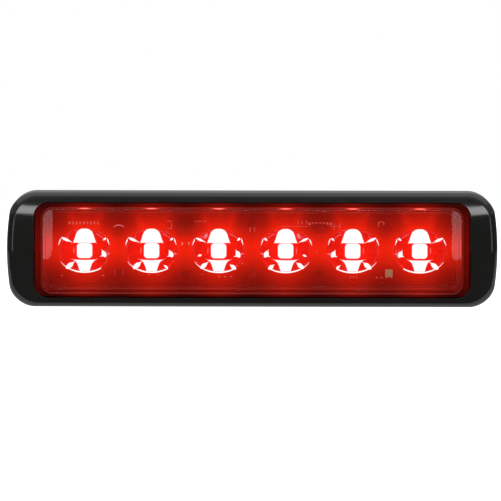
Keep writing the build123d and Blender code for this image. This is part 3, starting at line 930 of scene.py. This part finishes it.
def makeEyelets(s):
    parts = []
    for side in (-1, 1):
        x, z = eyelets["x"] + side * s["apart"] / 2, eyelets["z"]
        parts.append(disc("eyelet", x, eyelets["rear"], z, s["flange"], s["flange"], 32))
        extrudeFace(eyelets["front"] - eyelets["rear"] - s["lipHigh"])
        bpy.ops.mesh.inset(thickness=(s["flange"] - s["lip"]) / 2 * mm)
        extrudeFace(s["lipHigh"] * 0.9)
        bpy.ops.mesh.inset(thickness=(s["lip"] - s["fill"]) / 2 * mm)
        extrudeFace(-s["dip"])
        bpy.ops.mesh.inset(thickness=s["dip"] * mm, depth=s["crown"] * mm)
        choose("EDGE", lambda vx, f, vz: f > eyelets["rear"] + 0.1, sharp=40)
        roundEdges(s["edge"], 2)
        closeMesh()
    pair = joinParts(parts, "eyeletPair")
    return dress(pair, eyeletBrass, "lamp_body", ["wire_eyelets"])


makeEyelets(eyeletShape)

# mounting screws: domed head with a cross recess, and a rolled thread that runs out at the point
screws = room("mounting_screws")
screwShape = {
    "head": 5.4, "headHigh": 2.0, "headRim": 0.9, "headEdge": 0.12,
    "dome": ((1.45, 0.9), (1.8, 0.7), (2.0, 0.4)),  # height above the underside, and share of the width
    "neck": 2.5, "tip": 0.3, "core": 2.15, "thread": 2.9, "ridge": 0.62, "pitch": 1.25, "turns": 8,
    "start": -0.8, "shankEnd": -9.8, "cross": 3.0, "crossWide": 0.72, "crossDeep": 1.1,
    "crossTaper": 0.6, "threadTaper": 0.88,
}


def makeScrews(s):
    head, tip = screws["front"] - s["headHigh"], screws["rear"]
    shank = disc("screwShank", 0, tip, 0, s["tip"], s["tip"], 32)
    at, wide = tip, s["tip"]
    steps = [(s["shankEnd"], s["core"]), (-0.1, s["core"]), (0.0, s["neck"]), (head, s["neck"])]
    steps += [(head + 0.01, s["head"]), (head + s["headRim"], s["head"])]
    steps += [(head + high, s["head"] * share) for high, share in s["dome"]]
    for reach, across in steps:
        extrudeFace(reach - at)
        resize(across / wide, 1, across / wide, 0, reach, 0)
        at, wide = reach, across
    choose("EDGE", lambda x, f, z: abs(f - head) < 0.02 and x * x + z * z > 4, sharp=50)
    roundEdges(s["headEdge"], 2)
    closeMesh(angle=40)
    for long, high in ((s["cross"], s["crossWide"]), (s["crossWide"], s["cross"])):
        tool = rectangle("crossTool", 0, screws["front"] + 0.3, 0, long, high)
        extrudeFace(-s["crossDeep"] - 0.3)
        resize(s["crossTaper"], 1, s["crossTaper"], 0, screws["front"] - s["crossDeep"], 0)
        closeMesh()
        cutAway(shank, tool)

    # the thread is a four-sided ridge wound round the core
    deselectAll()
    bpy.ops.mesh.primitive_circle_add(
        vertices=4, radius=mm / 2, fill_type="NOTHING", location=spot(s["core"] / 2, s["start"], 0)
    )
    ridge = openNew("screwThread")
    resize(s["thread"] - s["core"], s["ridge"], 1, s["core"] / 2, s["start"], 0)
    deselectAll()
    ridge.select_set(True)
    bpy.context.view_layer.objects.active = ridge
    wind = ridge.modifiers.new("wind", "SCREW")
    wind.axis, wind.angle, wind.screw_offset, wind.iterations = "Y", 2 * math.pi, s["pitch"] * mm, s["turns"]
    wind.steps = wind.render_steps = 24
    bpy.ops.object.modifier_apply(modifier="wind")
    bpy.ops.object.mode_set(mode="EDIT")
    last = s["start"] - s["turns"] * s["pitch"]
    for end in (s["start"], last):
        choose("EDGE", lambda x, f, z: abs(f - end) < 0.6 and abs(z) < 0.001, edgeOfSheet=True)
        bpy.ops.mesh.edge_face_add()
    for step in range(1, 6):
        choose("VERT", lambda x, f, z: f < last + s["pitch"] * (1 - step / 6))
        resize(s["threadTaper"], 1, s["threadTaper"], 0, last, 0)
    closeMesh(angle=40)
    screw = joinParts([shank, ridge], "mountingScrew")
    half = (screws["length"] - s["head"]) / 2
    pair = [copyPart(screw, "screwLeft", x=-half), copyPart(screw, "screwRight", x=half)]
    bpy.data.objects.remove(screw)
    pair = joinParts(pair, "mountingScrewPair")
    return dress(pair, screwSteel, "lamp_body", ["mounting_screws"])


makeScrews(screwShape)
print("screws made")

# Pale ticks and pads printed on the board, in plain rows beside the parts they belong to, lit by red LED
# light painted as emission.
# Each row is x and z from its part's centre, a tick's length and height, how many, and their step.
board = room("circuit_board")
boardTicks = {
    "driver_chip": [
        (-1.9, 1.8, 0.28, 1.1, 4, 1.27), (-4.3, 1.8, 1.4, 0.2, 1, 0), (-3.7, 0.5, 0.2, 1.6, 1, 0),
        (-4.4, -0.1, 1.2, 0.2, 1, 0), (2.4, 1.8, 0.9, 0.2, 3, 1.3),
    ],
    "input_diode": [
        (-2.5, 1.2, 0.6, 0.7, 7, 0.95), (4.1, 0.5, 0.2, 1.8, 2, 1.5), (-2.5, 0.5, 16.0, 0.13, 1, 0),
        (-5.5, 1.6, 0.25, 0.9, 3, 1.1), (-0.5, -6.4, 0.35, 0.35, 1, 0),
    ],
    "led_package_1": [
        (-4.3, 6.8, 0.5, 0.75, 9, 0.95), (7.9, -6.4, 0.3, 1.1, 2, 1.9), (-6.3, -7.2, 0.4, 0.3, 1, 0),
        (4.7, -7.2, 0.6, 0.3, 1, 0),
    ],
    "led_package_2": [(-6.4, 1.7, 0.3, 0.3, 2, 1.1), (-0.8, -7.0, 0.3, 0.3, 2, 2.4)],
    "led_package_3": [
        (8.3, 5.4, 0.2, 1.9, 2, 1.2), (8.9, 6.4, 1.2, 0.2, 1, 0), (0.1, -7.4, 0.5, 0.35, 3, 1.6),
        (-4.5, -6.8, 0.3, 0.3, 1, 0), (6.3, -3.9, 0.4, 0.4, 1, 0),
    ],
    "led_package_4": [
        (-0.5, 2.6, 0.3, 0.3, 2, 1.3), (0.7, -0.7, 1.2, 0.22, 1, 0), (0.1, 1.7, 0.35, 0.3, 3, 0.9),
    ],
    "led_package_5": [
        (7.0, 6.6, 0.22, 1.3, 2, 1.4), (7.7, 7.2, 1.2, 0.2, 1, 0), (-0.4, -7.5, 0.25, 0.6, 3, 0.8),
        (6.6, -7.6, 0.4, 0.3, 4, 1.3),
    ],
}
tickShape = {"sunk": 0.02, "thick": 0.06, "corner": 0.06}


def makeTicks(ticks):
    parts = []
    for node, rows in ticks.items():
        beside = room(node)
        for x, z, length, height, count, step in rows:
            for number in range(count):
                at = beside["x"] + x + number * step
                level = board["front"] - tickShape["sunk"]
                parts.append(rectangle("tick", at, level, beside["z"] + z, length, height))
                roundCorners(tickShape["corner"], 2)
                bpy.ops.mesh.select_mode(type="FACE")
                bpy.ops.mesh.select_all(action="SELECT")
                extrudeFace(tickShape["thick"])
                closeMesh()
    return dress(joinParts(parts, "boardPrint"), boardPrint, "lamp_body")


boardPrint = litPlastic("boardPrint", (0.85, 0.1, 0.075), 0.72, 1.0)
makeTicks(boardTicks)

# a painted highlight on the rim of the left board screw, as a thin glowing arc
boardScrews = room("board_screws")
glintShape = {
    "headRadius": 1.9, "z": boardScrews["z"], "length": 3.7, "height": 3.7, "thick": 0.22,
    "from": 40, "to": 140, "proud": 0.06,
}
glint = makeCrescent(glintShape["headRadius"] - boardScrews["length"] / 2, glintShape, sparkPink, sparkPink)
glint.name = glint.data.name = "screwGlint"
bpy.context.view_layer.objects.active = glint
bpy.ops.object.mode_set(mode="EDIT")
bpy.ops.mesh.select_all(action="SELECT")
move(forward=boardScrews["front"] - sparkShapes["level"] - sparkShapes["thick"] + glintShape["proud"])
deselectAll()
dress(glint, None, "lamp_body")
print("board marks made")

# nodes that keep their CAD shape
domeSilicone = litPlastic("domeSilicone", (1.0, 0.35, 0.35), 1.2)
carried = {
    "mounting_gasket": gasketFoam, "base_housing": basePlastic, "lens_seal": sealRubber,
    "heat_spreader": spreaderMetal, "thermal_pad": padSilicone, "circuit_board": boardLaminate,
    "screw_washers": washerFibre, "board_screws": boardScrewSteel, "cable_gland": glandRubber,
    "driver_chip": chipPlastic, "input_diode": chipPlastic, "capacitors": partCeramic,
    "resistors": chipPlastic,
}
for number in range(1, 7):
    carried[f"led_package_{number}"] = ledCeramic
    carried[f"led_dome_{number}"] = domeSilicone
for name, material in carried.items():
    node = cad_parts[name]
    node.data.materials.clear()
    node.data.materials.append(material)


studio = {
    "floor": -200.0, "floorFront": -300.0, "floorBack": 3500.0, "floorWidth": 5000.0,
    "floorGlow": 0.3, "glowFade": (0.5, 0.62),
    "distance": 1200.0, "elevation": 3.9, "lens": 324.0, "roll": -0.12, "aim": (-0.61, 7, -0.48),
    "sideBoxX": 430.0, "sideBoxTurn": 22,
    "skyAbove": (0.2, 0.3, 0.0, 0.42), "skyBehind": (0.1, 0.5, 0.03, 0.26),
}


def softBox(name, x, forward, z, length, height, power, turn):
    turned = [math.radians(angle) for angle in turn]
    bpy.ops.object.light_add(type="AREA", location=spot(x, forward, z), rotation=turned)
    lamp = bpy.context.object
    lamp.name = lamp.data.name = name
    lamp.data.shape, lamp.data.size, lamp.data.size_y = "RECTANGLE", length * mm, height * mm
    lamp.data.energy = power


deselectAll()
middle = (studio["floorFront"] + studio["floorBack"]) / 2
bpy.ops.mesh.primitive_plane_add(size=1, location=spot(0, -middle, studio["floor"]))
floor = openNew("studioFloor")
bpy.ops.transform.resize(
    value=(studio["floorWidth"] * mm, (studio["floorBack"] - studio["floorFront"]) * mm, 1),
    center_override=spot(0, -middle, studio["floor"]),
)
deselectAll()
paleFloor, tree, shader, place = startMaterial("paleFloor")
shader.inputs["Base Color"].default_value = (0.9, 0.9, 0.89, 1)
shader.inputs["Roughness"].default_value = 0.8
shader.inputs["Emission Color"].default_value = (1, 1, 1, 1)
seen = addNode(tree, "ShaderNodeLightPath").outputs["Is Camera Ray"]
ahead = product(tree, addNode(tree, "ShaderNodeSeparateXYZ", {"Vector": place}).outputs["Y"], -1.0)
near = remap(tree, ahead, *studio["glowFade"], studio["floorGlow"], 0.0)
tree.links.new(sums(tree, "ADD", seen, near), shader.inputs["Emission Strength"])
floor.data.materials.append(paleFloor)

softBox("topSoftBox", x=0, forward=100, z=900, length=2000, height=1400, power=6.5, turn=(0, 0, 0))
softBox("frontSoftBox", x=0, forward=1500, z=272, length=700, height=80, power=1.2, turn=(84, 0, 0))
for side in (-1, 1):
    x, turn = side * studio["sideBoxX"], (90, 0, side * studio["sideBoxTurn"])
    softBox("sideSoftBox", x, forward=1000, z=52, length=340, height=256, power=0.4, turn=turn)

world = bpy.data.worlds.new("studioWorld")
bpy.context.scene.world = world
world.use_nodes = True
tree = world.node_tree
tree.nodes.clear()
# white behind the lamp for the camera; for the lamp, pale above and behind, and dark in front
path = addNode(tree, "ShaderNodeLightPath").outputs["Is Camera Ray"]
toward = addNode(tree, "ShaderNodeTexCoord").outputs["Generated"]
way = addNode(tree, "ShaderNodeSeparateXYZ", {"Vector": toward}).outputs
above = remap(tree, way["Z"], *studio["skyAbove"])
behind = remap(tree, way["Y"], *studio["skyBehind"])
level = sums(tree, "MAXIMUM", above, behind)
bright = addNode(tree, "ShaderNodeBackground", {"Color": (1, 1, 1, 1), "Strength": 1.0})
dim = addNode(tree, "ShaderNodeBackground", {"Color": (0.95, 0.97, 1, 1), "Strength": level})
mix = addNode(tree, "ShaderNodeMixShader", {0: path, 1: dim.outputs[0], 2: bright.outputs[0]})
addNode(tree, "ShaderNodeOutputWorld", {"Surface": mix.outputs[0]})

up = math.radians(studio["elevation"])
aim = spot(*studio["aim"])
away = studio["distance"] * mm
bpy.ops.object.camera_add(
    location=(aim[0], aim[1] - away * math.cos(up), aim[2] + away * math.sin(up)),
    rotation=(math.pi / 2 - up, math.radians(studio["roll"]), 0),
)
camera = bpy.context.object
camera.data.lens, camera.data.sensor_width = studio["lens"], 36
camera.data.clip_start, camera.data.clip_end = 0.01, 20
bpy.context.scene.camera = camera
bpy.context.scene.view_settings.view_transform = "Standard"
print("studio ready")
